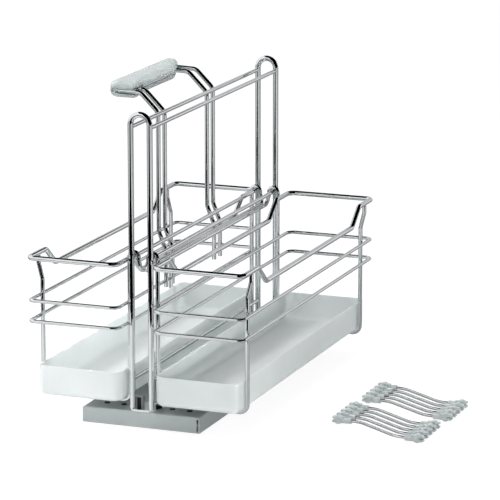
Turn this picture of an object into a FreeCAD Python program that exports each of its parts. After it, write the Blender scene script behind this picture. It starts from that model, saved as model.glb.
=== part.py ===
import FreeCAD, Part
import Sketcher
import math
import os
import re
from FreeCAD import Placement, Rotation, Vector

# Pull-out storage basket for a narrow base unit: a chrome wire frame stands on a runner carriage,
# and two wire baskets with frosted trays hang on its middle rails. The left basket has a carry handle.
# Millimetres. X is across the unit, Y runs to the rear and Z is up. The origin is on the underside
# of the floor plate, half way along it and across it.

doc = FreeCAD.newDocument("PullOutBasket")
sheet = doc.addObject("Spreadsheet::Sheet", "Sizes")

# The driving dimensions, in millimetres unless the name says count or degrees.
driving = {
    "weldGap": 0.05,
    "hoopWire": 7,
    "railWire": 5,
    "rimWire": 6.2,
    "frameWire": 5.3,
    "ringWire": 4.4,
    "handleWire": 5.5,
    "dividerWire": 3.6,
    "hoopHalf": 12,
    "hoopSpacing": 413,
    "hoopTop": 376.2,
    "topRailHeight": 360.9,
    "midRailHeight": 205.5,
    "bottomRailHeight": 58.8,
    "baseWidth": 149.4,
    "baseLength": 422.4,
    "baseHeight": 20.9,
    "coverSheet": 1.5,
    "coverBend": 2.4,
    "skirtClear": 1.8,
    "seamWidth": 2.4,
    "seamLower": 8.8,
    "seamUpper": 5.8,
    "seamTie": 1.2,
    "seamRise": 0.8,
    "seamDepth": 2.4,
    "cutBeyond": 1,
    "footHalf": 21,
    "footDepth": 34,
    "footLead": 5,
    "footSheet": 2.5,
    "footCorner": 16,
    "footScrewHead": 8,
    "footScrewShank": 4,
    "footScrewHeadHeight": 3.2,
    "footScrewX": 16,
    "footScrewBack": 13,
    "catchWidth": 8.4,
    "catchDepth": 7,
    "catchHeight": 13,
    "catchWall": 1.4,
    "catchBack": 7,
    "catchLeft": -11,
    "catchRecess": 0.7,
    "plateWidth": 142,
    "plateMargin": 2,
    "plateSheet": 1.5,
    "plateCorner": 6,
    "fixingHole": 5.2,
    "fixingAcross": 20,
    "fixingSpacing": 320,
    "slideOffset": 42,
    "slideInset": 11.2,
    "slideSheet": 1.2,
    "slideLip": 2.6,
    "innerHalf": 15.5,
    "innerFoot": 5.6,
    "cabinetHeight": 10.5,
    "middleHeight": 8.8,
    "raceGap": 0.9,
    "largeBall": 4,
    "smallBall": 3.2,
    "smallBallDrop": 1,
    "ballPlay": 0.05,
    "cageSheet": 0.4,
    "cagePlay": 0.2,
    "cageWall": 5.6,
    "cageLength": 190,
    "ballCount": 6,
    "rivetOffset": 11,
    "rivetShank": 4,
    "rivetHead": 6.8,
    "rivetHeadHeight": 1.2,
    "rivetEnd": 12,
    "rivetPlay": 0.1,
    "basketLength": 454,
    "basketWidth": 112.4,
    "basketClear": 6.3,
    "ringLow": 122.9,
    "ringHigh": 147.9,
    "ringInCorner": 10,
    "ringOutCorner": 6.5,
    "rimHigh": 199.6,
    "rimLow": 177.8,
    "rimRaised": 49,
    "rimSlope": 27,
    "rimBend": 8,
    "frameBend": 10,
    "flareLow": 168,
    "flareHigh": 188,
    "hookGap": 0.6,
    "hookSeat": 0.1,
    "hookEndGap": 1.25,
    "hookBend": 7,
    "hookTail": 3,
    "barDrop": 17,
    "barHalf": 3,
    "barLead": 22,
    "traySeat": 0.1,
    "traySide": 0.4,
    "trayInset": 1.1,
    "trayEnd": 3,
    "trayHeight": 36.5,
    "trayWall": 2,
    "trayInCorner": 13,
    "trayOutCorner": 8,
    "trayFloorBend": 7,
    "handleHalf": 88,
    "handleStep": 19.7,
    "handleFoot": 143,
    "handleJogLow": 187,
    "handleJogHigh": 211,
    "handleLegOut": 26.8,
    "outerShoulder": 356.3,
    "innerShoulder": 353.8,
    "handleTop": 379.9,
    "handleRise": 1.3,
    "handleOuterRun": 85,
    "handleInnerRun": 75,
    "handleBend": 12,
    "gripLength": 186,
    "gripOuterSide": 91.5,
    "gripUpperSide": 59,
    "gripLowerSide": 59.5,
    "gripFlareSide": 53,
    "gripFlareEnd": 12,
    "gripFlareBend": 42,
    "gripThick": 19.1,
    "gripBelow": 8.6,
    "gripCutStart": 46,
    "gripCutSide": 75.5,
    "gripFrontCorner": 15,
    "gripNeckCorner": 5,
    "gripFlareCorner": 20,
    "gripCutCorner": 22,
    "gripRearCorner": 8.5,
    "gripRound": 7,
    "gripPlay": 0.3,
    "gripMouth": 55,
    "gripMouthOut": 80,
    "gripSeam": 1.4,
    "gripSeamHeight": 1.5,
    "gripSeamLevel": 7,
    "gripBend": 12,
    "dividerSpan": 59,
    "dividerShift": 42.3,
    "dividerEnd": 17.9,
    "dividerBend": 30,
    "dividerStep": 15.2,
    "dividerCount": 5,
    "dividerFrontX": 218.8,
    "dividerFrontY": -105,
    "dividerRearX": 222,
    "dividerRearY": -7,
    "clipHeight": 10.5,
    "clipThick": 8.4,
    "clipHeadBack": 2.5,
    "clipHeadRound": 1.6,
    "clipProngThick": 5,
    "clipBody": 14,
    "clipTube": 7,
    "clipNeck": 8,
    "clipProng": 9.5,
    "clipWall": 2.6,
    "clipBodyHigh": 7.4,
    "clipMouth": 3.4,
    "clipNotch": 7,
    "clipRound": 1.2,
    "clipWireHeight": 4.5,
    "clipPlay": 0.1,
}

for row, (alias, amount) in enumerate(driving.items(), start=1):
    sheet.set("A%d" % row, alias)
    sheet.set("B%d" % row, str(amount))
    sheet.setAlias("B%d" % row, alias)
doc.recompute()

# Places and sizes that follow from the driving ones, as formulas in the sheet's names.
derived = {
    "legX": "{hoopHalf} + {railWire} / 2 + {frameWire} / 2 + {hookGap}",
    "hookX": "2 * {hoopHalf} - {legX}",
    "ringInX": "{legX} + {frameWire} / 2 + {weldGap} + {ringWire} / 2",
    "rimInX": "{legX} + {frameWire} / 2 + {weldGap} + {rimWire} / 2",
    "outX": "{ringInX} + {basketWidth}",
    "outLegX": "{outX} - {ringWire} / 2 - {weldGap} - {frameWire} / 2",
    "hoopY": "{hoopSpacing} / 2",
    "hookY": "{hoopY} - {hoopWire} / 2 - {frameWire} / 2 - {hookEndGap}",
    "hookRound": "{legX} - {hoopHalf}",
    "hookZ": "{midRailHeight} - {hookGap} + {hookSeat}",
    "barHeight": "{midRailHeight} - {barDrop}",
    "ringY": "{basketLength} / 2",
    "frameLow": "{baseHeight} + {basketClear} + {frameWire} / 2",
    "rimUnder": "{rimHigh} - {rimWire} / 2 - {weldGap}",
    "trayLow": "{frameLow} + {frameWire} / 2 + {traySeat}",
    "trayInX": "{legX} + {frameWire} / 2 + {trayInset}",
    "trayOutX": "{outLegX} - {frameWire} / 2 - {traySide}",
    "trayMidX": "({trayInX} + {trayOutX}) / 2",
    "trayHalfX": "({trayOutX} - {trayInX}) / 2",
    "trayHalfY": "{ringY} - {trayEnd}",
    "handleInnerHalf": "{handleHalf} - {handleStep}",
    "handleLowX": "{ringInX} - {ringWire} / 2 - {weldGap} - {handleWire} / 2",
    "handleNeck": "{handleTop} - {handleRise}",
    "outerNeckX": "{handleLegOut} + {handleNeck} - {outerShoulder}",
    "innerNeckX": "{handleLegOut} + {handleNeck} - {innerShoulder}",
    "handleTilt": "{handleRise} / ({handleOuterRun} - {outerNeckX})",
    "innerTop": "{handleNeck} + ({handleInnerRun} - {outerNeckX}) * {handleTilt}",
    "gripLow": "{handleTop} - {gripBelow}",
    "gripHigh": "{gripLow} + {gripThick}",
    "footFront": "-{hoopY} - {footLead}",
    "footTop": "{baseHeight} + {footSheet}",
    "coverUnder": "{baseHeight} - {coverSheet}",
    "slideLength": "{baseLength} - 2 * {slideInset}",
    "plateLength": "{slideLength} + 2 * {plateMargin}",
    "middleHalf": "{innerHalf} + {smallBall} + 2 * {ballPlay} + {slideSheet}",
    "cabinetHalf": "{middleHalf} + {largeBall} + 2 * {ballPlay} + {slideSheet}",
    "middleLow": "{plateSheet} + {slideSheet} + {raceGap}",
    "outerBallX": "{middleHalf} + {ballPlay} + {largeBall} / 2",
    "outerBallZ": "{plateSheet} + {slideSheet} + {cagePlay} + {cageWall} - {largeBall} / 2",
    "outerCageLow": "{plateSheet} + {slideSheet} + {cagePlay}",
    "innerBallX": "{innerHalf} + {ballPlay} + {smallBall} / 2",
    "innerCageLow": "{middleLow} + {slideSheet} + {cagePlay}",
    "innerBallZ": "{innerCageLow} + {cageWall} - {smallBall} / 2 - {smallBallDrop}",
    "clipMiddle": "{clipHeight} / 2",
    "rivetY": "{slideLength} / 2 - {rivetEnd}",
    "railLength": "{hoopSpacing} - {hoopWire} - 2 * {weldGap}",
    "catchFront": "-{hoopY} + {catchBack}",
}


def linked(text):
    def place(match):
        name = match.group(1)
        if name in derived:
            return "(" + linked(derived[name]) + ")"
        return "Sizes." + name
    return re.sub(r"\{(\w+)\}", place, text)


def size(text):
    return float(sheet.evalExpression(linked(text)))


def bind(item, prop, text):
    item.setExpression(prop, linked(text))


def across(side, text):
    return text if side > 0 else "-(" + text + ")"


nodes = []


def node(item, label):
    item.Label = label
    nodes.append(item)
    return item


# A round wire bent along straight runs and tangent arcs. Each point is (x, y, z, bend radius).
def bentPath(points):
    corners = [Vector(size(x), size(y), size(z)) for x, y, z, bend in points]
    bends = [size(bend) for x, y, z, bend in points]
    runs = []
    edges = []
    for index, corner in enumerate(corners):
        if bends[index] == 0:
            runs.append((corner, corner, None))
            continue
        before = (corners[index - 1] - corner).normalize()
        after = (corners[index + 1] - corner).normalize()
        half = before.getAngle(after) / 2
        reach = bends[index] / math.tan(half)
        middle = (before + after).normalize()
        top = corner + middle * (bends[index] / math.sin(half) - bends[index])
        runs.append((corner + before * reach, corner + after * reach, top))
    for index, (start, end, top) in enumerate(runs):
        if top is not None:
            edges.append(Part.Arc(start, top, end).toShape())
        if index + 1 < len(runs) and (runs[index + 1][0] - end).Length > 0.001:
            edges.append(Part.LineSegment(end, runs[index + 1][0]).toShape())
    return Part.Wire(edges)


def bentWire(label, wire, points):
    path = doc.addObject("Part::Feature", label + "_path")
    path.Shape = bentPath(points)
    first = path.Shape.Edges[0]
    start = first.Vertexes[0].Point
    heading = first.tangentAt(first.FirstParameter)
    section = doc.addObject("Part::Circle", label + "_section")
    bind(section, "Radius", wire + " / 2")
    section.Placement = Placement(start, Rotation(Vector(0, 0, 1), heading))
    sweep = doc.addObject("Part::Sweep", label)
    sweep.Sections = [section]
    sweep.Spine = (path, [])
    sweep.Solid = True
    sweep.Frenet = False
    return sweep


# A straight wire along Y, with its middle at y = 0.
def straightWire(label, wire, x, z, length):
    rod = doc.addObject("Part::Cylinder", label)
    bind(rod, "Radius", wire + " / 2")
    bind(rod, "Height", length)
    rod.Placement = Placement(Vector(0, 0, 0), Rotation(Vector(1, 0, 0), 90))
    bind(rod, "Placement.Base.x", x)
    bind(rod, "Placement.Base.y", "(" + length + ") / 2")
    bind(rod, "Placement.Base.z", z)
    return rod


def originPlane(body, role):
    for feature in body.Origin.OriginFeatures:
        if feature.Role == role:
            return feature
    raise ValueError("no plane " + role)


def pin(sketch, geometry, position, x, y):
    for kind, text in (("DistanceX", x), ("DistanceY", y)):
        mark = sketch.addConstraint(Sketcher.Constraint(kind, -1, 1, geometry, position, size(text)))
        sketch.setExpression("Constraints[%d]" % mark, linked(text))


# A sketch on one of the body's own planes, with closed straight-sided loops and circles.
def drawing(body, name, role, offset, loops=(), circles=()):
    sketch = body.newObject("Sketcher::SketchObject", name)
    sketch.AttachmentSupport = [(originPlane(body, role), "")]
    sketch.MapMode = "FlatFace"
    bind(sketch, "AttachmentOffset.Base.z", offset)
    for loop in loops:
        corners = [Vector(size(x), size(y), 0) for x, y in loop]
        first = sketch.GeometryCount
        count = len(corners)
        for index in range(count):
            sketch.addGeometry(Part.LineSegment(corners[index], corners[(index + 1) % count]), False)
        for index in range(count):
            following = first + (index + 1) % count
            sketch.addConstraint(Sketcher.Constraint("Coincident", first + index, 2, following, 1))
        for index, (x, y) in enumerate(loop):
            pin(sketch, first + index, 1, x, y)
    for x, y, radius in circles:
        centre = Vector(size(x), size(y), 0)
        ring = sketch.addGeometry(Part.Circle(centre, Vector(0, 0, 1), size(radius)), False)
        mark = sketch.addConstraint(Sketcher.Constraint("Radius", ring, size(radius)))
        sketch.setExpression("Constraints[%d]" % mark, linked(radius))
        pin(sketch, ring, 3, x, y)
    return sketch


def box(low, high, left, right):
    return [(left, low), (right, low), (right, high), (left, high)]


def pad(body, sketch, length, midplane=False):
    feature = body.newObject("PartDesign::Pad", sketch.Name + "_pad")
    feature.Profile = sketch
    bind(feature, "Length", length)
    feature.Midplane = midplane
    doc.recompute()
    return feature


# The cut goes along the sketch plane's normal, or against it, or half each way.
def pocket(body, sketch, length, along=True, midplane=False):
    before = body.Shape.Volume
    feature = body.newObject("PartDesign::Pocket", sketch.Name + "_pocket")
    feature.Profile = sketch
    bind(feature, "Length", length)
    feature.Reversed = along
    feature.Midplane = midplane
    doc.recompute()
    if body.Shape.Volume > before - 0.001:
        raise ValueError("pocket cuts nothing: " + sketch.Name)
    return feature


def fillet(body, name, radius, wanted):
    base = body.Tip
    names = ["Edge%d" % (index + 1) for index, edge in enumerate(base.Shape.Edges) if wanted(edge)]
    feature = body.newObject("PartDesign::Fillet", name)
    feature.Base = (base, names)
    bind(feature, "Radius", radius)
    doc.recompute()
    return feature


def upright(edge):
    start, end = edge.Vertexes[0].Point, edge.Vertexes[-1].Point
    return abs(start.x - end.x) < 0.001 and abs(start.y - end.y) < 0.001 and abs(start.z - end.z) > 0.001


def level(edge, z):
    return abs(edge.BoundBox.ZMin - z) < 0.001 and abs(edge.BoundBox.ZMax - z) < 0.001


# Rivet places: two beside each other near each end of a runner.
def rivetRows(side):
    rows = []
    for shift in (-1, 1):
        for end in (-1, 1):
            rows.append(("%d * {slideOffset} + %d * {rivetOffset}" % (side, shift), "%d * {rivetY}" % end))
    return rows


# The mounting plate, screwed to the cabinet floor between the runners.
def makeFloorPlate():
    body = node(doc.addObject("PartDesign::Body", "FloorPlate"), "floor_plate")
    outline = [box("-{plateLength} / 2", "{plateLength} / 2", "-{plateWidth} / 2", "{plateWidth} / 2")]
    pad(body, drawing(body, "PlateOutline", "XY_Plane", "0", outline), "{plateSheet}")
    fillet(body, "PlateCorners", "{plateCorner}", upright)
    holes = []
    for side in (-1, 1):
        for end in (-1, 1):
            x, y = "%d * {fixingAcross} / 2" % side, "%d * {fixingSpacing} / 2" % end
            holes.append((x, y, "{fixingHole} / 2"))
        for x, y in rivetRows(side):
            holes.append((x, y, "{rivetShank} / 2 + {rivetPlay}"))
    pocket(body, drawing(body, "PlateHoles", "XY_Plane", "0", circles=holes), "{plateSheet}")


# The section of a runner's folded channel: open upwards or downwards, with or without lips.
def channel(half, web, rest, lip, upward):
    sign = "1" if upward else "-1"
    inner = "(%s - {slideSheet})" % half
    inside = "%s + %s * {slideSheet}" % (web, sign)
    points = [("-" + half, web), (half, web), (half, rest)]
    if lip:
        under = "%s - %s * {slideSheet}" % (rest, sign)
        edge = "(%s - {slideLip})" % half
        points += [(edge, rest), (edge, under), (inner, under), (inner, inside), ("-" + inner, inside),
                   ("-" + inner, under), ("-" + edge, under), ("-" + edge, rest)]
    else:
        points += [(inner, rest), (inner, inside), ("-" + inner, inside), ("-" + inner, rest)]
    return points + [("-" + half, rest)]


def sideName(side):
    return "right" if side > 0 else "left"


def runner(label, side, section, length, holeLevel=None, holeDepth=None):
    name = label.title().replace("_", "")
    body = node(doc.addObject("PartDesign::Body", name), label)
    pad(body, drawing(body, name + "Section", "XZ_Plane", "0", [section]), length, midplane=True)
    if holeLevel is not None:
        holes = []
        for shift in (-1, 1):
            for end in (-1, 1):
                x, y = "%d * {rivetOffset}" % shift, "%d * {rivetY}" % end
                holes.append((x, y, "{rivetShank} / 2 + {rivetPlay}"))
        pocket(body, drawing(body, name + "Holes", "XY_Plane", holeLevel, circles=holes), holeDepth)
    bind(body, "Placement.Base.x", "%d * {slideOffset}" % side)
    return body


# A ball cage: a thin channel with a row of round windows in each wall.
def cage(label, side, ballX, low, ballZ, ball):
    name = label.title().replace("_", "")
    half = "(%s + {cageSheet} / 2)" % ballX
    inner = "(%s - {cageSheet} / 2)" % ballX
    top = "%s + {cageWall}" % low
    inside = "%s + {cageSheet}" % low
    section = [("-" + half, low), (half, low), (half, top), (inner, top), (inner, inside),
               ("-" + inner, inside), ("-" + inner, top), ("-" + half, top)]
    body = node(doc.addObject("PartDesign::Body", name), label)
    pad(body, drawing(body, name + "Section", "XZ_Plane", "0", [section]), "{cageLength}", midplane=True)
    windows = [(y, ballZ, "%s / 2 + {rivetPlay}" % ball) for y in ballPlaces()]
    pocket(body, drawing(body, name + "Windows", "YZ_Plane", "0", circles=windows),
           "2 * (%s + {cutBeyond})" % half, midplane=True)
    bind(body, "Placement.Base.x", "%d * {slideOffset}" % side)


def ballPlaces():
    halves = range(1, 2 * int(size("{ballCount}")), 2)
    return ["{cageLength} * %d / (2 * {ballCount}) - {cageLength} / 2" % half for half in halves]


def balls(label, side, ballX, ballZ, ball):
    group = []
    for row in (-1, 1):
        for index, y in enumerate(ballPlaces()):
            item = doc.addObject("Part::Sphere", "%s_%d_%d" % (label, row + 1, index))
            bind(item, "Radius", ball + " / 2")
            bind(item, "Placement.Base.x", "%d * {slideOffset} + %d * %s" % (side, row, ballX))
            bind(item, "Placement.Base.y", y)
            bind(item, "Placement.Base.z", ballZ)
            group.append(item)
    gather(label, group)


def gather(label, group):
    compound = node(doc.addObject("Part::Compound", label), label)
    compound.Links = group
    return compound


def upCylinder(label, radius, height, x, y, z):
    item = doc.addObject("Part::Cylinder", label)
    bind(item, "Radius", radius)
    bind(item, "Height", height)
    bind(item, "Placement.Base.x", x)
    bind(item, "Placement.Base.y", y)
    bind(item, "Placement.Base.z", z)
    return item


def joined(label, pieces):
    item = doc.addObject("Part::MultiFuse", label)
    item.Shapes = pieces
    item.Refine = True
    return item


def makeRunners():
    for side in (-1, 1):
        name = sideName(side)
        cabinet = channel("{cabinetHalf}", "{plateSheet}", "{plateSheet} + {cabinetHeight}", True, True)
        runner(name + "_cabinet_runner", side, cabinet, "{slideLength}", "{plateSheet}", "{slideSheet}")
        middle = channel("{middleHalf}", "{middleLow}", "{middleLow} + {middleHeight}", True, True)
        runner(name + "_middle_runner", side, middle, "{slideLength}")
        inner = channel("{innerHalf}", "{coverUnder}", "{innerFoot}", False, False)
        runner(name + "_inner_runner", side, inner, "{slideLength}", "{coverUnder} - {slideSheet}",
               "{slideSheet}")
        cage(name + "_outer_ball_cage", side, "{outerBallX}", "{outerCageLow}", "{outerBallZ}",
             "{largeBall}")
        cage(name + "_inner_ball_cage", side, "{innerBallX}", "{innerCageLow}", "{innerBallZ}",
             "{smallBall}")
        balls(name + "_outer_balls", side, "{outerBallX}", "{outerBallZ}", "{largeBall}")
        balls(name + "_inner_balls", side, "{innerBallX}", "{innerBallZ}", "{smallBall}")
    lower = []
    upper = []
    for side in (-1, 1):
        for index, (x, y) in enumerate(rivetRows(side)):
            mark = "%s_%d" % (sideName(side), index)
            lower.append(upCylinder("lower_rivet_" + mark, "{rivetShank} / 2", "{plateSheet} + {slideSheet}",
                                    x, y, "0"))
            shank = upCylinder("rivet_shank_" + mark, "{rivetShank} / 2", "{coverSheet} + {slideSheet}",
                               x, y, "{coverUnder} - {slideSheet}")
            head = upCylinder("rivet_head_" + mark, "{rivetHead} / 2", "{rivetHeadHeight}",
                              x, y, "{baseHeight}")
            upper.append(joined("cover_rivet_" + mark, [shank, head]))
    gather("floor_plate_rivets", lower)
    gather("cover_rivets", upper)


# The folded sheet cover that rides on the runners. It is open below and behind.
def makeCover():
    body = node(doc.addObject("PartDesign::Body", "CarriageCover"), "carriage_cover")
    outline = [box("-{baseLength} / 2", "{baseLength} / 2", "-{baseWidth} / 2", "{baseWidth} / 2")]
    pad(body, drawing(body, "CoverOutline", "XY_Plane", "{skirtClear}", outline),
        "{baseHeight} - {skirtClear}")
    top = size("{baseHeight}")
    rear = size("{baseLength} / 2")
    fillet(body, "CoverBends", "{coverBend}",
           lambda edge: level(edge, top) and edge.BoundBox.YMin < rear - 0.001)
    inside = [box("-{baseLength} / 2 + {coverSheet}", "{baseLength} / 2 + {cutBeyond}",
                  "-{baseWidth} / 2 + {coverSheet}", "{baseWidth} / 2 - {coverSheet}")]
    pocket(body, drawing(body, "CoverInside", "XY_Plane", "{skirtClear}", inside),
           "{coverUnder} - {skirtClear}")
    left, right = "{baseWidth} / 2 - {coverSheet} - {seamWidth}", "{baseWidth} / 2 - {coverSheet}"
    lower = "{skirtClear} + {seamRise}"
    upper = lower + " + {seamLower} + {seamTie}"
    seam = [box(lower, lower + " + {seamLower}", left, right),
            box(upper, upper + " + {seamUpper}", left, right)]
    pocket(body, drawing(body, "CornerSeam", "XZ_Plane", "{baseLength} / 2", seam), "{seamDepth}",
           along=False)
    holes = []
    for side in (-1, 1):
        for x, y in rivetRows(side):
            holes.append((x, y, "{rivetShank} / 2 + {rivetPlay}"))
        for x, y in footScrewPlaces(side):
            holes.append((x, y, "{footScrewShank} / 2 + {rivetPlay}"))
    pocket(body, drawing(body, "CoverHoles", "XY_Plane", "{coverUnder}", circles=holes), "{coverSheet}")


def footScrewPlaces(end):
    y = "%d * ({hoopY} - {footScrewBack})" % end
    return [("%d * {footScrewX}" % side, y) for side in (-1, 1)]


# The welded foot under each hoop, with its two screws into the cover.
def makeFeet():
    screws = []
    for end, name in ((-1, "front"), (1, "rear")):
        title = name.title() + "Foot"
        body = node(doc.addObject("PartDesign::Body", title), name + "_foot_plate")
        near, far = "{hoopY} + {footLead}", "{hoopY} + {footLead} - {footDepth}"
        if end < 0:
            low, high = "-(%s)" % near, "-(%s)" % far
        else:
            low, high = far, near
        pad(body, drawing(body, title + "Outline", "XY_Plane", "{baseHeight}",
                          [box(low, high, "-{footHalf}", "{footHalf}")]), "{footSheet}")
        fillet(body, title + "Corners", "{footCorner}", upright)
        holes = [(x, y, "{footScrewShank} / 2 + {rivetPlay}") for x, y in footScrewPlaces(end)]
        pocket(body, drawing(body, title + "Holes", "XY_Plane", "{baseHeight}", circles=holes),
               "{footSheet}")
        for index, (x, y) in enumerate(footScrewPlaces(end)):
            mark = "%s_%d" % (name, index)
            shank = upCylinder("foot_screw_shank_" + mark, "{footScrewShank} / 2",
                               "{coverSheet} + {footSheet}", x, y, "{coverUnder}")
            head = upCylinder("foot_screw_head_" + mark, "{footScrewHead} / 2", "{footScrewHeadHeight}",
                              x, y, "{footTop}")
            screws.append(joined("foot_screw_" + mark, [shank, head]))
    gather("foot_screws", screws)


# The small upright catch behind the front hoop: a folded hood with a black buffer in it.
def makeCatch():
    hood = node(doc.addObject("PartDesign::Body", "CatchHood"), "catch_hood")
    outline = [box("{catchFront}", "{catchFront} + {catchDepth}", "{catchLeft}",
                   "{catchLeft} + {catchWidth}")]
    pad(hood, drawing(hood, "HoodOutline", "XY_Plane", "{footTop}", outline), "{catchHeight}")
    mouth = [box("{footTop}", "{footTop} + {catchHeight} - {catchWall}", "{catchLeft} + {catchWall}",
                 "{catchLeft} + {catchWidth} - {catchWall}")]
    pocket(hood, drawing(hood, "HoodMouth", "XZ_Plane", "-({catchFront})", mouth),
           "{catchDepth} - {catchWall}", along=False)
    buffer = node(doc.addObject("PartDesign::Body", "CatchBuffer"), "catch_buffer")
    fill = [box("{catchFront} + {catchRecess}", "{catchFront} + {catchDepth} - {catchWall}",
                "{catchLeft} + {catchWall} + {weldGap}",
                "{catchLeft} + {catchWidth} - {catchWall} - {weldGap}")]
    pad(buffer, drawing(buffer, "BufferOutline", "XY_Plane", "{footTop}", fill),
        "{catchHeight} - {catchWall} - {weldGap}")


def makeFrame():
    for end, name in ((-1, "front"), (1, "rear")):
        y = "%d * {hoopY}" % end
        points = [("-{hoopHalf}", y, "{footTop}", "0"), ("-{hoopHalf}", y, "{hoopTop}", "{hoopHalf}"),
                  ("{hoopHalf}", y, "{hoopTop}", "{hoopHalf}"), ("{hoopHalf}", y, "{footTop}", "0")]
        node(bentWire(name + "_hoop", "{hoopWire}", points), name + "_hoop")
    for side in (-1, 1):
        for name, height in (("top", "{topRailHeight}"), ("middle", "{midRailHeight}"),
                             ("bottom", "{bottomRailHeight}")):
            label = "%s_%s_rail" % (sideName(side), name)
            node(straightWire(label, "{railWire}", "%d * {hoopHalf}" % side, height, "{railLength}"), label)


# A closed ring of wire round the basket. Its path starts in the middle of the front run.
def makeRing(label, side, height):
    middle = ("({ringInX} + {outX}) / 2", "-{ringY}", "0")
    corners = [middle, ("{outX}", "-{ringY}", "{ringOutCorner}"), ("{outX}", "{ringY}", "{ringOutCorner}"),
               ("{ringInX}", "{ringY}", "{ringInCorner}"), ("{ringInX}", "-{ringY}", "{ringInCorner}"),
               middle]
    points = [(across(side, x), y, height, bend) for x, y, bend in corners]
    node(bentWire(label, "{ringWire}", points), label)


# The top rim: raised at both ends, and dipped along both long sides.
def makeRim(side):
    label = sideName(side) + "_rim"
    middle = "({rimInX} + {outX}) / 2"
    points = [(middle, "-{ringY}", "{rimHigh}", "0")]
    for x, end, corner in (("{outX}", -1, "{ringOutCorner}"), ("{rimInX}", 1, "{ringInCorner}")):
        points += [(x, "%d * {ringY}" % end, "{rimHigh}", corner),
                   (x, "%d * ({ringY} - {rimRaised})" % end, "{rimHigh}", "{rimBend}"),
                   (x, "%d * ({ringY} - {rimRaised} - {rimSlope})" % end, "{rimLow}", "{rimBend}"),
                   (x, "%d * ({ringY} - {rimRaised} - {rimSlope})" % -end, "{rimLow}", "{rimBend}"),
                   (x, "%d * ({ringY} - {rimRaised})" % -end, "{rimHigh}", "{rimBend}"),
                   (x, "%d * {ringY}" % -end, "{rimHigh}", corner)]
    points.append((middle, "-{ringY}", "{rimHigh}", "0"))
    node(bentWire(label, "{rimWire}", [(across(side, x), y, z, bend) for x, y, z, bend in points]), label)


# The wire that goes down outside, under the tray, up inside, over the rail and into the hanger bar.
def makeFrameWire(side, end, name):
    y = "%d * {hookY}" % end
    points = [("{outX}", y, "{rimUnder}", "0"), ("{outX}", y, "{flareHigh}", "{frameBend}"),
              ("{outLegX}", y, "{flareLow}", "{frameBend}"), ("{outLegX}", y, "{frameLow}", "{frameBend}"),
              ("{legX}", y, "{frameLow}", "{frameBend}"),
              ("{legX}", y, "{hookZ} + {hookRound}", "{hookRound}"),
              ("{hookX}", y, "{hookZ} + {hookRound}", "{hookRound}"),
              ("{hookX}", y, "{midRailHeight} - {hookTail}", "{hookTail}"),
              ("{barHalf}", y, "{barHeight}", "{hookBend}"),
              ("{barHalf}", "%d * ({hookY} - {barLead})" % end, "{barHeight}", "0")]
    label = "%s_%s_frame_wire" % (sideName(side), name)
    points = [(across(side, x), along, z, bend) for x, along, z, bend in points]
    node(bentWire(label, "{frameWire}", points), label)


# The frosted tray: thin walls, rounded corners and a rounded foot.
def makeTray(side):
    label = sideName(side) + "_tray"
    name = label.title().replace("_", "")
    body = node(doc.addObject("PartDesign::Body", name), label)
    outline = [box("-{trayHalfY}", "{trayHalfY}", "-{trayHalfX}", "{trayHalfX}")]
    pad(body, drawing(body, name + "Outline", "XY_Plane", "{trayLow}", outline), "{trayHeight}")
    fillet(body, name + "InnerCorners", "{trayInCorner}",
           lambda edge: upright(edge) and side * edge.BoundBox.XMin < 0)
    fillet(body, name + "OuterCorners", "{trayOutCorner}",
           lambda edge: upright(edge) and side * edge.BoundBox.XMin > size("{trayHalfX} - {cutBeyond}"))
    low = size("{trayLow}")
    fillet(body, name + "Foot", "{trayFloorBend}", lambda edge: level(edge, low))
    base = body.Tip
    top = size("{trayLow} + {trayHeight}")
    faces = ["Face%d" % (index + 1) for index, face in enumerate(base.Shape.Faces)
             if abs(face.BoundBox.ZMin - top) < 0.001]
    shell = body.newObject("PartDesign::Thickness", name + "Shell")
    shell.Base = (base, faces)
    shell.Reversed = True
    bind(shell, "Value", "{trayWall}")
    doc.recompute()
    bind(body, "Placement.Base.x", across(side, "{trayMidX}"))


def makeBasket(side):
    name = sideName(side)
    makeRim(side)
    makeRing(name + "_upper_ring", side, "{ringHigh}")
    makeRing(name + "_lower_ring", side, "{ringLow}")
    for end, place in ((-1, "front"), (1, "rear")):
        makeFrameWire(side, end, place)
    node(straightWire(name + "_hanger_bar", "{frameWire}", "%d * {barHalf}" % side, "{barHeight}",
                      "2 * ({hookY} - {barLead} - {weldGap})"), name + "_hanger_bar")
    makeTray(side)


# The two nested handle wires, bent over the left basket, and the moulded grip on them.
def makeHandle():
    outer = ("{handleHalf}", "{outerShoulder}", "{outerNeckX}", "{handleOuterRun}", "{handleTop}")
    inner = ("{handleInnerHalf}", "{innerShoulder}", "{innerNeckX}", "{handleInnerRun}", "{innerTop}")
    for name, (half, shoulder, neck, run, top) in (("outer", outer), ("inner", inner)):
        points = []
        for end in (-1, 1):
            y = "%d * %s" % (end, half)
            leg = [("{handleLowX}", y, "{handleFoot}", "0"),
                   ("{handleLowX}", y, "{handleJogLow}", "{handleBend}"),
                   ("{handleLegOut}", y, "{handleJogHigh}", "{handleBend}"),
                   ("{handleLegOut}", y, shoulder, "{handleBend}"),
                   (neck, y, "{handleNeck}", "{handleBend}"), (run, y, top, "{gripBend}")]
            points += leg if end < 0 else leg[::-1]
        label = "handle_%s_wire" % name
        node(bentWire(label, "{handleWire}", [("-" + x, y, z, bend) for x, y, z, bend in points]), label)


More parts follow.
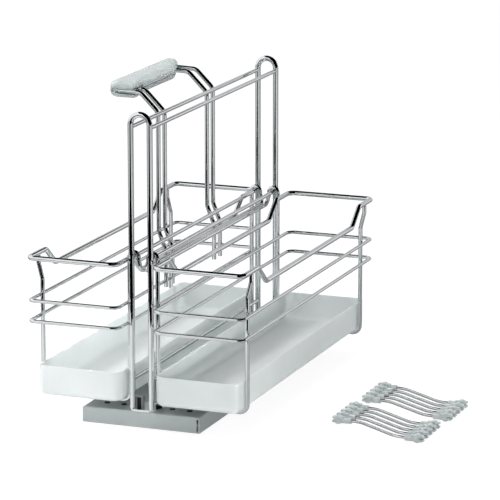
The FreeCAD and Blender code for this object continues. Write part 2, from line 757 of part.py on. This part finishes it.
# The grip is a moulded block with rounded edges, flared at its front end and narrowed at its rear end.
# A slot along its middle holds the wires, and a mouth at each end lets them out, with a shallow seam
# between the mouths. The shell above the slot is narrower than the lip below it.
def makeGrip():
    body = node(doc.addObject("PartDesign::Body", "HandleGrip"), "handle_grip")
    front = "-{gripLength} / 2"
    rear = "{gripLength} / 2"
    outline = [("-{gripOuterSide}", front), ("-{gripFlareSide}", front),
               ("-{gripFlareSide}", front + " + {gripFlareEnd}"),
               ("-{gripLowerSide}", front + " + {gripFlareBend}"),
               ("-{gripLowerSide}", "{gripCutStart}"), ("-{gripCutSide}", rear), ("-{gripOuterSide}", rear)]
    pad(body, drawing(body, "GripOutline", "XY_Plane", "{gripLow}", [outline]), "{gripThick}")
    radii = ("{gripFrontCorner}", "{gripNeckCorner}", "{gripNeckCorner}", "{gripFlareCorner}",
             "{gripCutCorner}", "{gripRearCorner}", "{gripRearCorner}")
    for index, ((x, y), radius) in enumerate(zip(outline, radii)):
        corner = Part.Vertex(size(x), size(y), size("{gripLow}"))
        fillet(body, "GripCorner%d" % index, radius,
               lambda edge: upright(edge) and edge.distToShape(corner)[0] < 0.001)
    levels = (size("{gripLow}"), size("{gripHigh}"))
    fillet(body, "GripEdges", "{gripRound}",
           lambda edge: level(edge, levels[0]) or level(edge, levels[1]))
    slotOut = "({handleOuterRun} + {handleWire} / 2 + {gripPlay})"
    slotIn = "({handleInnerRun} - {handleWire} / 2 - {gripPlay})"
    mouthIn = "({gripFlareSide} - {cutBeyond})"
    pocket(body, drawing(body, "GripSlot", "XZ_Plane", "0", [gripSlot(slotOut, slotIn)]),
           "2 * {handleHalf} + {handleWire} + 2 * {gripPlay}", midplane=True)
    mouth = gripSlot("{gripMouthOut}", mouthIn)
    for name, face in (("Front", "{gripMouth}"), ("Rear", "-{gripMouth}")):
        pocket(body, drawing(body, "Grip%sMouth" % name, "XZ_Plane", face, [mouth]),
               "{gripLength} / 2 - {gripMouth} + {cutBeyond}", along=name == "Front")
    seamLow = "{gripLow} + {gripSeamLevel}"
    seam = box(seamLow, seamLow + " + {gripSeamHeight}", "-{gripLowerSide} - {gripSeam}", "-" + mouthIn)
    pocket(body, drawing(body, "GripSeam", "XZ_Plane", "0", [seam]), "2 * {gripMouth}", midplane=True)
    step = box("{handleNeck}", "{gripHigh} + {cutBeyond}", "-{gripUpperSide}", "-" + mouthIn)
    pocket(body, drawing(body, "GripStep", "XZ_Plane", "0", [step]), "{gripLength} + 2 * {cutBeyond}",
           midplane=True)


# The section of the slot, which follows the slight rise of the wires.
def gripSlot(out, inner):
    section = []
    for x, shift in ((out, "-"), (inner, "-"), (inner, "+"), (out, "+")):
        middle = "{handleNeck} + (%s - {outerNeckX}) * {handleTilt}" % x
        section.append(("-" + x, "%s %s ({handleWire} / 2 + {gripPlay})" % (middle, shift)))
    return section


def makeDividers():
    form = clipForm()
    z = "{clipWireHeight}"
    for name, nearX, nearY in (("front", "{dividerFrontX}", "{dividerFrontY}"),
                               ("rear", "{dividerRearX}", "{dividerRearY}")):
        wires = []
        clips = []
        for index in range(int(size("{dividerCount}"))):
            startY = "%s + %d * {dividerStep}" % (nearY, index)
            endX = nearX + " + 2 * {dividerEnd} + {dividerSpan}"
            endY = "(%s) - {dividerShift}" % startY
            points = [(nearX, startY, z, "0"), (nearX + " + {dividerEnd}", startY, z, "{dividerBend}"),
                      (nearX + " + {dividerEnd} + {dividerSpan}", endY, z, "{dividerBend}"),
                      (endX, endY, z, "0")]
            wires.append(bentWire("%s_divider_wire_%d" % (name, index), "{dividerWire}", points))
            for x, y, turn in ((nearX, startY, 180), (endX, endY, 0)):
                clip = form.Shape.copy()
                clip.Placement = Placement(Vector(size(x), size(y), 0), Rotation(Vector(0, 0, 1), turn))
                clips.append(clip)
        gather(name + "_divider_wires", wires)
        group = node(doc.addObject("Part::Feature", name + "_divider_clips"), name + "_divider_clips")
        group.Shape = Part.makeCompound(clips)


# One snap clip, lying at the end of its wire: a round socket for the wire and a round head with two
# prongs, which a wedge-shaped mouth parts.
def clipForm():
    body = doc.addObject("PartDesign::Body", "ClipForm")
    back = "-{clipBody} / 2"
    tip = "({clipBody} / 2 + {clipProng})"
    low = "({clipHeight} - {clipBodyHigh}) / 2"
    prongs = box(low, "{clipHeight} - " + low, back + " + {clipNeck}", tip)
    pad(body, drawing(body, "ClipProngs", "XZ_Plane", "0", [prongs]), "{clipProngThick}", midplane=True)
    fillet(body, "ClipTips", "{clipRound}",
           lambda edge: edge.BoundBox.YLength > 0.001 and edge.BoundBox.XLength < 0.001
           and edge.BoundBox.ZLength < 0.001 and abs(edge.BoundBox.XMin - size(tip)) < 0.001)
    head = [(tip + " - {clipHeadBack} - {clipHeight} / 2", "{clipMiddle}", "{clipHeight} / 2")]
    pad(body, drawing(body, "ClipHead", "XZ_Plane", "0", circles=head), "{clipThick}", midplane=True)
    fillet(body, "ClipHeadRounds", "{clipHeadRound}",
           lambda edge: abs(abs(edge.BoundBox.YMin) - size("{clipThick}") / 2) < 0.001
           and edge.BoundBox.YLength < 0.001)
    end = tip + " + {cutBeyond}"
    mouth = [(tip + " - {clipNotch}", "{clipMiddle}"), (end, "{clipMiddle} - {clipMouth} / 2"),
             (end, "{clipMiddle} + {clipMouth} / 2")]
    pocket(body, drawing(body, "ClipMouth", "XZ_Plane", "0", [mouth]), "{clipThick} + {cutBeyond}",
           midplane=True)
    tube = [("0", "{clipWireHeight}", "{clipTube} / 2")]
    pad(body, drawing(body, "ClipTube", "YZ_Plane", back, circles=tube), "{clipNeck} + {clipWall}")
    socket = [("0", "{clipWireHeight}", "{dividerWire} / 2 + {clipPlay}")]
    pocket(body, drawing(body, "ClipSocket", "YZ_Plane", back, circles=socket), "{clipBody} / 2")
    return body


makeFloorPlate()
makeRunners()
makeCover()
makeFeet()
makeCatch()
makeFrame()
for side in (-1, 1):
    makeBasket(side)
makeHandle()
makeGrip()
makeDividers()
doc.recompute()

for item in doc.Objects:
    if "Invalid" in item.State or "Error" in item.State:
        raise ValueError("failed object: " + item.Label)
for item in nodes:
    if item.Shape.isNull() or not item.Shape.isValid():
        raise ValueError("bad shape: " + item.Label)

os.makedirs("parts", exist_ok=True)
for item in nodes:
    item.Shape.exportStep("parts/%s.step" % item.Label)
    print(item.Label, len(item.Shape.Solids), round(item.Shape.Volume))
print(len(nodes), "nodes")
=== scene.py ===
import math
import bpy
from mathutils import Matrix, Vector

# Pull-out storage basket: chromed wire on a grey sheet carriage, with frosted trays.
# Metres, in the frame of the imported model. X is across, Y runs to the rear and Z is up.

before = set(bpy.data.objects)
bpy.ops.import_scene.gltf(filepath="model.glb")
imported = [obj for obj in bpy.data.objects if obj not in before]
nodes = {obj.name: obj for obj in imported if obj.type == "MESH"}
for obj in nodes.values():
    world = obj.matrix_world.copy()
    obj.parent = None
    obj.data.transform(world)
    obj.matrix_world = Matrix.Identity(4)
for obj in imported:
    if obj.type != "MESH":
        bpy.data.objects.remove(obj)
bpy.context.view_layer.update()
print("frame loaded:", len(nodes), "nodes")


def linear(code):
    channels = [int(code[i:i + 2], 16) / 255 for i in (1, 3, 5)]
    return [c / 12.92 if c <= 0.04045 else ((c + 0.055) / 1.055) ** 2.4 for c in channels] + [1]


# Adds one node. Keys of sets are its properties or its inputs, and each link is (input, node, output).
def addNode(tree, kind, sets=None, links=()):
    made = tree.nodes.new(kind)
    for key, value in (sets or {}).items():
        if isinstance(key, str) and hasattr(made, key):
            setattr(made, key, value)
        else:
            made.inputs[key].default_value = value
    for socket, source, output in links:
        tree.links.new(made.inputs[socket], source.outputs[output])
    return made


def newMaterial(name):
    material = bpy.data.materials.new(name)
    material.use_nodes = True
    material.node_tree.nodes.clear()
    return material, material.node_tree


def finishMaterial(tree, shader, output="BSDF"):
    addNode(tree, "ShaderNodeOutputMaterial", None, [("Surface", shader, output)])


# A ramp from one grey value to another, for roughness and strength.
def valueRamp(tree, source, output, low, high, start=0.0, end=1.0):
    return addNode(tree, "ShaderNodeMapRange",
                   {"From Min": start, "From Max": end, "To Min": low, "To Max": high},
                   [("Value", source, output)])


# A mix of two colours, given as hex codes, by a grey pattern.
def colourMix(tree, source, output, first, second):
    return addNode(tree, "ShaderNodeMix", {"data_type": "RGBA", 6: linear(first), 7: linear(second)},
                   [(0, source, output)])


noiseLow, noiseHigh = 0.3, 0.7  # nearly all of a noise pattern lies between these

chromeLook = {
    "colour": "#F1F3F4",
    "haze": "#DDE1E3",
    "roughLow": 0.02,
    "roughHigh": 0.06,
    "hazeSize": 30.0,     # mm
    "hazeLow": 0.35,
    "hazeHigh": 0.75,
    "waveSize": 5.0,      # mm, the slow waves that drawing leaves under the plating
    "waveHeight": 0.005,  # mm
    "waveShare": 0.4,
    "pitSize": 0.45,      # mm
    "pitHeight": 0.02,    # mm
    "pitShare": 0.03,
}


# Bright chromium plate on drawn steel wire. It mirrors its surroundings as long light and dark
# streaks, which waver a little, and it is slightly hazed in patches.
def chromePlate(name, look):
    material, tree = newMaterial(name)
    place = addNode(tree, "ShaderNodeTexCoord")
    patches = addNode(tree, "ShaderNodeTexNoise", {"Scale": 1000 / look["hazeSize"], "Detail": 3},
                      [("Vector", place, "Object")])
    waves = addNode(tree, "ShaderNodeTexNoise", {"Scale": 1000 / look["waveSize"], "Detail": 1},
                    [("Vector", place, "Object")])
    pits = addNode(tree, "ShaderNodeTexNoise", {"Scale": 1000 / look["pitSize"], "Detail": 2},
                   [("Vector", place, "Object")])
    rough = valueRamp(tree, patches, "Fac", look["roughLow"], look["roughHigh"],
                      look["hazeLow"], look["hazeHigh"])
    tone = colourMix(tree, patches, "Fac", look["colour"], look["haze"])
    wavy = addNode(tree, "ShaderNodeBump",
                   {"Strength": look["waveShare"], "Distance": look["waveHeight"] / 1000},
                   [("Height", waves, "Fac")])
    fine = addNode(tree, "ShaderNodeBump",
                   {"Strength": look["pitShare"], "Distance": look["pitHeight"] / 1000},
                   [("Height", pits, "Fac"), ("Normal", wavy, "Normal")])
    shader = addNode(tree, "ShaderNodeBsdfPrincipled", {"Metallic": 1.0},
                     [("Base Color", tone, 2), ("Roughness", rough, "Result"), ("Normal", fine, "Normal")])
    finishMaterial(tree, shader)
    return material


frostLook = {
    "colour": "#E3EAE9",
    "shade": "#D5DDDC",
    "roughLow": 0.34,
    "roughHigh": 0.5,
    "bending": 1.49,      # refractive index
    "clear": 0.16,        # share of the light that goes straight through, blurred
    "milk": 0.95,         # share of the rest that scatters inside the wall
    "depth": 9.0,         # mm, how far scattered light travels
    "grain": 0.6,         # mm, the spark-eroded texture of the mould
    "grainHeight": 0.02,  # mm
    "grainShare": 0.3,
    "cloud": 45.0,        # mm, how wide the faint clouds in the colour are
}
gripLook = dict(frostLook, colour="#CBD1D1", shade="#B5BEBE", roughLow=0.2, roughHigh=0.3, cloud=16.0)
clipLook = dict(frostLook, colour="#E2E8E8", shade="#C6CFCF", depth=3.0, cloud=6.0)


# Natural polypropylene, injection moulded in a spark-eroded tool. It is milky: light scatters in
# the wall, so edges and folds look brighter than the flat walls and shapes behind it are blurred.
# The grip is satin rather than frosted, and the clips are small, so they look greyer.
def frostedPlastic(name, look):
    material, tree = newMaterial(name)
    place = addNode(tree, "ShaderNodeTexCoord")
    cloud = addNode(tree, "ShaderNodeTexNoise", {"Scale": 1000 / look["cloud"], "Detail": 2},
                    [("Vector", place, "Object")])
    grain = addNode(tree, "ShaderNodeTexNoise",
                    {"Scale": 1000 / look["grain"], "Detail": 4, "Roughness": 0.6},
                    [("Vector", place, "Object")])
    rough = valueRamp(tree, grain, "Fac", look["roughLow"], look["roughHigh"], noiseLow, noiseHigh)
    tone = colourMix(tree, cloud, "Fac", look["colour"], look["shade"])
    bump = addNode(tree, "ShaderNodeBump",
                   {"Strength": look["grainShare"], "Distance": look["grainHeight"] / 1000},
                   [("Height", grain, "Fac")])
    shader = addNode(tree, "ShaderNodeBsdfPrincipled",
                     {"IOR": look["bending"], "Transmission Weight": look["clear"],
                      "Subsurface Weight": look["milk"], "Subsurface Radius": (1.0, 1.0, 1.0),
                      "Subsurface Scale": look["depth"] / 1000},
                     [("Base Color", tone, 2), ("Roughness", rough, "Result"), ("Normal", bump, "Normal")])
    finishMaterial(tree, shader)
    return material


coatLook = {
    "colour": "#A4ABAB",
    "fleck": "#B9BFBF",
    "flake": 0.35,        # mm
    "flakeFrom": 0.6,     # flakes show where their random value is above this
    "flakeShare": 0.5,
    "metal": 0.25,
    "roughLow": 0.36,
    "roughHigh": 0.48,
    "peel": 1.1,          # mm
    "peelHeight": 0.02,   # mm
    "peelShare": 0.4,
}


# Silver-grey powder coat on folded sheet. It is satin, faintly dimpled, with fine metal flakes.
def powderCoat(name, look):
    material, tree = newMaterial(name)
    place = addNode(tree, "ShaderNodeTexCoord")
    peel = addNode(tree, "ShaderNodeTexNoise", {"Scale": 1000 / look["peel"], "Detail": 1},
                   [("Vector", place, "Object")])
    flake = addNode(tree, "ShaderNodeTexVoronoi", {"Scale": 1000 / look["flake"]},
                    [("Vector", place, "Object")])
    spark = valueRamp(tree, flake, "Color", 0.0, look["flakeShare"], look["flakeFrom"], 1.0)
    tone = colourMix(tree, spark, "Result", look["colour"], look["fleck"])
    rough = valueRamp(tree, peel, "Fac", look["roughLow"], look["roughHigh"], noiseLow, noiseHigh)
    bump = addNode(tree, "ShaderNodeBump",
                   {"Strength": look["peelShare"], "Distance": look["peelHeight"] / 1000},
                   [("Height", peel, "Fac")])
    shader = addNode(tree, "ShaderNodeBsdfPrincipled", {"Metallic": look["metal"]},
                     [("Base Color", tone, 2), ("Roughness", rough, "Result"), ("Normal", bump, "Normal")])
    finishMaterial(tree, shader)
    return material


zincLook = {
    "light": "#C9CDCF",
    "dark": "#A9AEB1",
    "spangle": 6.0,         # mm
    "rolling": 0.5,         # mm between the rolling lines
    "along": 0.05,          # how much slower the lines change along Y than across
    "lineHeight": 0.01,     # mm
    "lineShare": 0.25,
    "roughLow": 0.26,
    "roughHigh": 0.40,
}
cageLook = dict(zincLook, light="#C4BFAE", dark="#A7A292", roughLow=0.24, roughHigh=0.38)
ballLook = dict(zincLook, light="#D8DBDD", dark="#CDD1D3", roughLow=0.06, roughHigh=0.20)
# Painted shade: the screw and rivet heads are near-black to stand in for the dark holes and gaps around them.
screwShadeLook = dict(zincLook, light="#26282A", dark="#191B1D", spangle=2.0, roughLow=0.29, roughHigh=0.43)


# Plated or polished steel, rolled and bent. Zinc plate is dull silver with a patchy bloom and fine
# rolling lines. The cages are yellowish and the balls bright. The screws and rivets are painted
# near-black, as painted shade for the dark holes and gaps they sit in.
def platedSteel(name, look):
    material, tree = newMaterial(name)
    place = addNode(tree, "ShaderNodeTexCoord")
    stretch = addNode(tree, "ShaderNodeMapping", {"Scale": (1.0, look["along"], 1.0)},
                      [("Vector", place, "Object")])
    bloom = addNode(tree, "ShaderNodeTexVoronoi", {"Scale": 1000 / look["spangle"]},
                    [("Vector", place, "Object")])
    lines = addNode(tree, "ShaderNodeTexNoise", {"Scale": 1000 / look["rolling"], "Detail": 2},
                    [("Vector", stretch, "Vector")])
    tone = colourMix(tree, bloom, "Color", look["light"], look["dark"])
    rough = valueRamp(tree, lines, "Fac", look["roughLow"], look["roughHigh"], noiseLow, noiseHigh)
    bump = addNode(tree, "ShaderNodeBump",
                   {"Strength": look["lineShare"], "Distance": look["lineHeight"] / 1000},
                   [("Height", lines, "Fac")])
    shader = addNode(tree, "ShaderNodeBsdfPrincipled", {"Metallic": 1.0},
                     [("Base Color", tone, 2), ("Roughness", rough, "Result"), ("Normal", bump, "Normal")])
    finishMaterial(tree, shader)
    return material


bufferLook = {
    "colour": "#17191A",
    "roughLow": 0.38,
    "roughHigh": 0.55,
    "bending": 1.48,      # refractive index
    "grain": 0.5,         # mm
    "grainHeight": 0.02,  # mm
    "grainShare": 0.3,
}


# Black acetal, moulded: a soft sheen over a faint moulding grain.
def mouldedBlack(name, look):
    material, tree = newMaterial(name)
    place = addNode(tree, "ShaderNodeTexCoord")
    grain = addNode(tree, "ShaderNodeTexNoise", {"Scale": 1000 / look["grain"], "Detail": 3},
                    [("Vector", place, "Object")])
    rough = valueRamp(tree, grain, "Fac", look["roughLow"], look["roughHigh"], noiseLow, noiseHigh)
    bump = addNode(tree, "ShaderNodeBump",
                   {"Strength": look["grainShare"], "Distance": look["grainHeight"] / 1000},
                   [("Height", grain, "Fac")])
    shader = addNode(tree, "ShaderNodeBsdfPrincipled",
                     {"Base Color": linear(look["colour"]), "IOR": look["bending"]},
                     [("Roughness", rough, "Result"), ("Normal", bump, "Normal")])
    finishMaterial(tree, shader)
    return material


chrome = chromePlate("chromed steel wire", chromeLook)
tray = frostedPlastic("frosted polypropylene", frostLook)
grip = frostedPlastic("satin polypropylene", gripLook)
clip = frostedPlastic("natural polypropylene", clipLook)
coat = powderCoat("silver-grey powder coat", coatLook)
zinc = platedSteel("zinc-plated steel", zincLook)
cages = platedSteel("yellow passivated steel", cageLook)
bearing = platedSteel("polished ball steel", ballLook)
# The screws and rivets get painted shade, near-black like the holes and gaps they sit in.
shadeBlackSteel = platedSteel("near-black steel as painted shade", screwShadeLook)
black = mouldedBlack("black acetal", bufferLook)

# Which finish each piece has, by a word in its name. The first word found counts, and all other
# pieces are chromed wire.
finishes = [("buffer", black), ("hood", coat), ("cover_rivets", shadeBlackSteel), ("carriage_cover", coat),
            ("foot_screws", shadeBlackSteel), ("divider_clips", clip), ("grip", grip), ("tray", tray),
            ("cage", cages), ("balls", bearing), ("runner", zinc), ("floor_plate", zinc)]
for name, node in nodes.items():
    chosen = next((finish for word, finish in finishes if word in name), chrome)
    node.data.materials.clear()
    node.data.materials.append(chosen)
print("finishes set")


studio = {
    "floorColour": "#F4F4F4",
    "shadowColour": "#707070",  # how much of the lamps' light the camera sees on the floor
    "floorGlow": 0.92,
    "floorReach": 12,           # m
    "floorDrop": 0.0002,        # m, so that the floor isn't level with the lowest faces
    "skyColour": "#FFFFFF",
    "worldStrength": 0.47,      # for diffuse light only; the camera and mirrors see it at 1
    "cameraAt": (1.4568, -3.6319, 1.0799),
    "cameraTo": (0.0943, -0.0976, 0.2000),
    "lens": 235.8,              # mm
    "sensor": 36,               # mm
    "farthest": 60,             # m
    "cardCentre": (0.0, -0.2),
    "cardTurn": (0.933, 0.360),  # cosine and sine of the camera's bearing
    "cardHeight": 0.001,        # m over the floor
    "ceilingHeight": 3.4,       # m
    # Reflected areas of the floor, by corners as metres to the right and metres towards the camera.
    "blackFloor": ((-1.10, 0.0), (-0.60, 0.08), (-0.45, 0.34), (0.0, 0.52), (0.34, 0.42), (0.56, 0.50),
                   (0.60, 0.85), (0.29, 1.33), (0.16, 1.75), (0.10, 2.6), (-1.10, 2.6)),
    "greyFloor": ((-3.5, -6.4), (3.5, -6.4), (3.5, 0.1), (0.6, 0.1), (-0.6, -0.1), (-3.5, -0.1)),
    "nearLeft": ((-0.60, 0.08), (-0.6, -0.1), (0.0, 0.0), (0.0, 0.52), (-0.45, 0.34)),
    "nearRight": ((0.0, 0.0), (0.6, 0.1), (0.56, 0.50), (0.34, 0.42), (0.0, 0.52)),
    "ceiling": ((-2.55, 2.1), (-1.7, 3.2), (7.0, 3.2), (7.0, -6.4), (-1.0, -6.4), (-1.2, -2.4), (-1.7, -0.5)),
    # Reflected walls. Each has its place, then its corners along the wall and up.
    "backWall": (-6.5, ((-6, 0), (6, 0), (6, 3.4), (-6, 3.4))),
    "frontDark": (3.2, ((-1.7, 0.0), (7.0, 0.0), (7.0, 3.4), (-1.7, 3.4))),
    "rightDark": (7.0, ((3.2, 0.3), (-3.0, 0.3), (-3.0, 3.4), (3.2, 3.4))),
}

# The lights: name, place, width and depth, watts, the point it faces, and its beam in degrees.
lights = [
    ("soft box above", (-0.1, 0.0, 2.2), (1.4, 1.4), 29, (0.05, -0.05, 0.15), 180),
    ("soft box left", (-0.95, -1.15, 0.75), (0.3, 0.3), 0.27, (-0.17, -0.20, 0.03), 14),
    ("soft box side", (-0.8, 0.15, 0.7), (0.4, 0.4), 2.8, (-0.05, 0.0, 0.05), 110),
    ("soft box grip", (1.0, -1.0, 0.1), (0.2, 0.2), 0.12, (-0.07, 0.0, 0.365), 12),
    ("soft box cover", (1.0, -0.9, 0.15), (0.2, 0.2), 0.05, (0.07, -0.16, 0.02), 10),
]


def makeCamera():
    data = bpy.data.cameras.new("camera")
    data.lens = studio["lens"]
    data.sensor_width = studio["sensor"]
    data.clip_end = studio["farthest"]
    camera = bpy.data.objects.new("camera", data)
    camera.location = studio["cameraAt"]
    aim = Vector(studio["cameraTo"]) - Vector(studio["cameraAt"])
    camera.rotation_euler = aim.to_track_quat("-Z", "Y").to_euler()
    bpy.context.scene.collection.objects.link(camera)
    bpy.context.scene.camera = camera


# A flat reflector card, made as one face between its corners. Only mirrored rays see it.
def card(name, corners, colour, strength):
    mesh = bpy.data.meshes.new(name)
    mesh.from_pydata(corners, [], [tuple(range(len(corners)))])
    panel = bpy.data.objects.new(name, mesh)
    bpy.context.scene.collection.objects.link(panel)
    material, tree = newMaterial(name)
    shader = addNode(tree, "ShaderNodeEmission", {"Color": linear(colour), "Strength": strength})
    finishMaterial(tree, shader, "Emission")
    mesh.materials.append(material)
    panel.visible_camera = False
    panel.visible_diffuse = False
    panel.visible_shadow = False
    panel.visible_transmission = False


# A point on or over the floor, from metres to the camera's right and metres towards the camera.
def spot(right, toward, height):
    x, y = studio["cardCentre"]
    cosine, sine = studio["cardTurn"]
    return (x + cosine * right + sine * toward, y + sine * right - cosine * toward, height)


def level(area, height):
    return [spot(right, toward, height) for right, toward in studio[area]]


def makeFloor():
    mesh = bpy.data.meshes.new("floor")
    reach = studio["floorReach"]
    mesh.from_pydata([(-reach, -reach, 0), (reach, -reach, 0), (reach, reach, 0), (-reach, reach, 0)],
                     [], [(0, 1, 2, 3)])
    floor = bpy.data.objects.new("floor", mesh)
    floor.location.z = -studio["floorDrop"]
    bpy.context.scene.collection.objects.link(floor)
    material, tree = newMaterial("white floor paper")
    path = addNode(tree, "ShaderNodeLightPath")
    paper = addNode(tree, "ShaderNodeBsdfDiffuse", {"Color": linear(studio["floorColour"])})
    faint = addNode(tree, "ShaderNodeBsdfDiffuse", {"Color": linear(studio["shadowColour"])})
    glow = addNode(tree, "ShaderNodeEmission", {"Strength": studio["floorGlow"]})
    lit = addNode(tree, "ShaderNodeAddShader", None, [(0, faint, "BSDF"), (1, glow, "Emission")])
    seen = addNode(tree, "ShaderNodeMath", {"operation": "MAXIMUM"},
                   [(0, path, "Is Camera Ray"), (1, path, "Is Transmission Ray")])
    both = addNode(tree, "ShaderNodeMixShader", None, [(0, seen, 0), (1, paper, "BSDF"), (2, lit, "Shader")])
    finishMaterial(tree, both, "Shader")
    mesh.materials.append(material)


def makeWorld():
    world = bpy.data.worlds.new("studio")
    world.use_nodes = True
    bpy.context.scene.world = world
    tree = world.node_tree
    tree.nodes.clear()
    path = addNode(tree, "ShaderNodeLightPath")
    seen = addNode(tree, "ShaderNodeMath", {"operation": "MAXIMUM"},
                   [(0, path, "Is Camera Ray"), (1, path, "Is Glossy Ray")])
    shown = addNode(tree, "ShaderNodeMath", {"operation": "MAXIMUM"},
                    [(0, seen, 0), (1, path, "Is Transmission Ray")])
    strength = valueRamp(tree, shown, 0, studio["worldStrength"], 1.0)
    sky = addNode(tree, "ShaderNodeBackground", {"Color": linear(studio["skyColour"])},
                  [("Strength", strength, "Result")])
    addNode(tree, "ShaderNodeOutputWorld", None, [("Surface", sky, "Background")])


# A soft light that the chrome doesn't mirror.
def softLight(name, at, size, power, to, beam):
    data = bpy.data.lights.new(name, "AREA")
    data.shape = "RECTANGLE"
    data.size, data.size_y = size
    data.energy = power
    data.spread = math.radians(beam)
    lamp = bpy.data.objects.new(name, data)
    lamp.location = at
    lamp.rotation_euler = (Vector(to) - Vector(at)).to_track_quat("-Z", "Y").to_euler()
    bpy.context.scene.collection.objects.link(lamp)
    lamp.visible_glossy = False
    lamp.visible_camera = False


makeCamera()
makeFloor()
makeWorld()
for light in lights:
    softLight(*light)

# The chrome mirrors these cards. The dark floor in front gives the upright wires their black streak,
# and the dark ceiling gives the level wires a thin dark line along the top. The dark room in front and
# to the right blackens the sloping necks of the handle. A white opening is left at the front left.
# Each card is given its corners, its colour and how strongly it shines.
cardDark, roomDark = "#050505", "#101112"
low = studio["cardHeight"]
backAt, backCorners = studio["backWall"]
frontAt, frontCorners = studio["frontDark"]
rightAt, rightCorners = studio["rightDark"]
card("black floor in front", level("blackFloor", 2 * low), cardDark, 0.02)
card("grey floor behind", level("greyFloor", low), "#FFFFFF", 0.33)
card("light floor near", level("nearLeft", low), "#FFFFFF", 0.9)
card("grey floor near", level("nearRight", low), "#FFFFFF", 0.5)
card("grey wall behind", [spot(side, backAt, up) for side, up in backCorners], "#FFFFFF", 0.55)
card("dark ceiling", level("ceiling", studio["ceilingHeight"]), roomDark, 0.1)
card("dark room in front", [spot(side, frontAt, up) for side, up in frontCorners], cardDark, 0.02)
card("dark room right", [spot(rightAt, toward, up) for toward, up in rightCorners], roomDark, 0.1)
print("studio set")

scene = bpy.context.scene
scene.view_settings.view_transform = "Standard"
